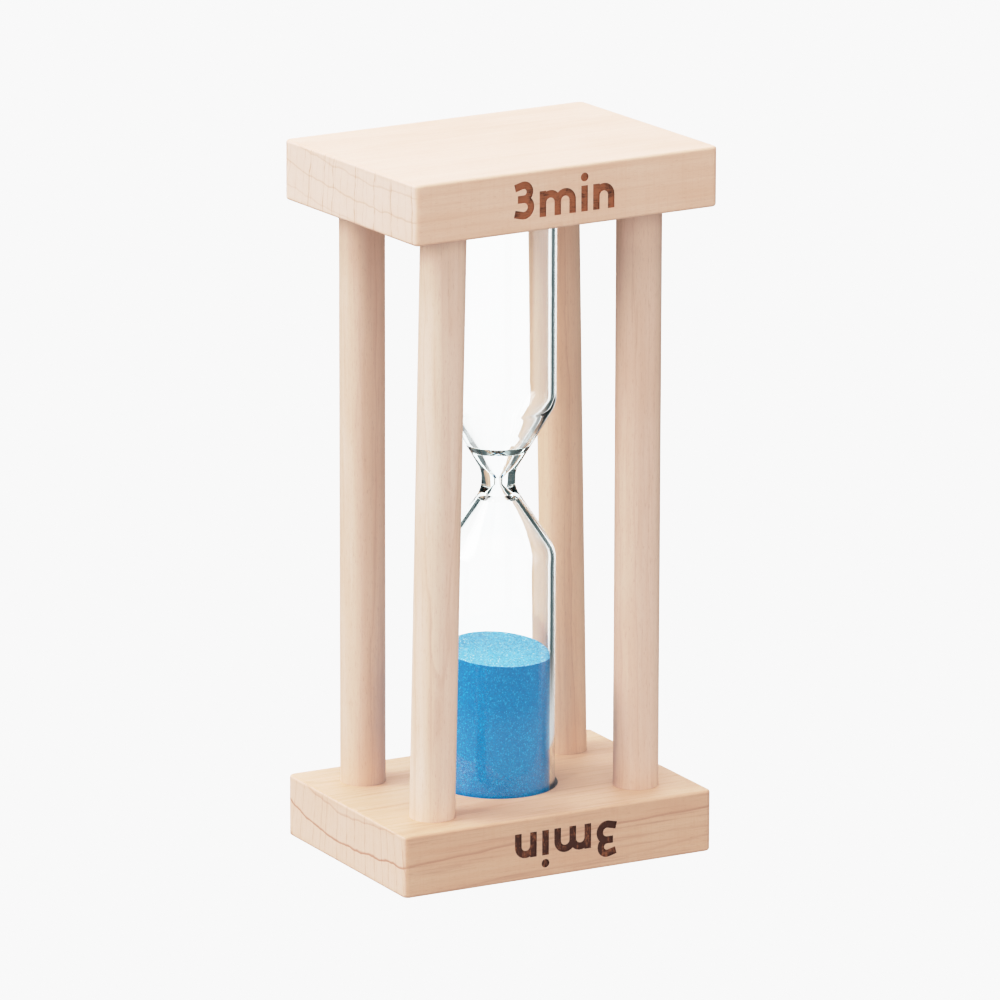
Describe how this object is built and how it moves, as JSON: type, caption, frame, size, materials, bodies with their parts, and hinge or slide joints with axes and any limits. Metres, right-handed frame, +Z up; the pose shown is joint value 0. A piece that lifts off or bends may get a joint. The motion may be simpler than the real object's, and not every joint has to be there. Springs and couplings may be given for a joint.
{
  "type": "sand timer",
  "caption": "Wooden sand timer: a blown glass with coloured sand stands loose between end plates held apart by glued dowel posts, and it stands on either plate.",
  "frame": {"origin": "centre of the lower plate's outer face, where the timer stands", "axes": "+Z up through the glass, +X along the plates' long side, -Y is the face with the duration mark"},
  "size_m": [0.0632, 0.0474, 0.126],
  "materials": {
    "plate_wood": "sanded, unvarnished, pale pinkish cream",
    "dowel_wood": "turned dowel, unvarnished, light tan",
    "clear_glass": "clear blown glass, faintly blue-green at its edges",
    "blue_sand": "fine dyed sand with glittering grains",
    "bung_rubber": "matt off-white",
    "foam": "matt closed-cell foam"
  },
  "bodies": {
    "frame": {"bottom_plate": "plate_wood", "top_plate": "plate_wood", "post_front_left": "dowel_wood", "post_front_right": "dowel_wood", "post_rear_left": "dowel_wood", "post_rear_right": "dowel_wood", "lower_pad": "foam", "upper_pad": "foam"},
    "glass": {"glass_vessel": "clear_glass", "filling_bung": "bung_rubber", "sand": "blue_sand"}
  },
  "joints": [
    {"name": "glass_turn", "type": "hinge", "parent": "frame", "child": "glass", "pos_m": [-0.00022, 0.00022, 0.063], "axis": [0, 0, 1], "continuous": true}
  ]
}
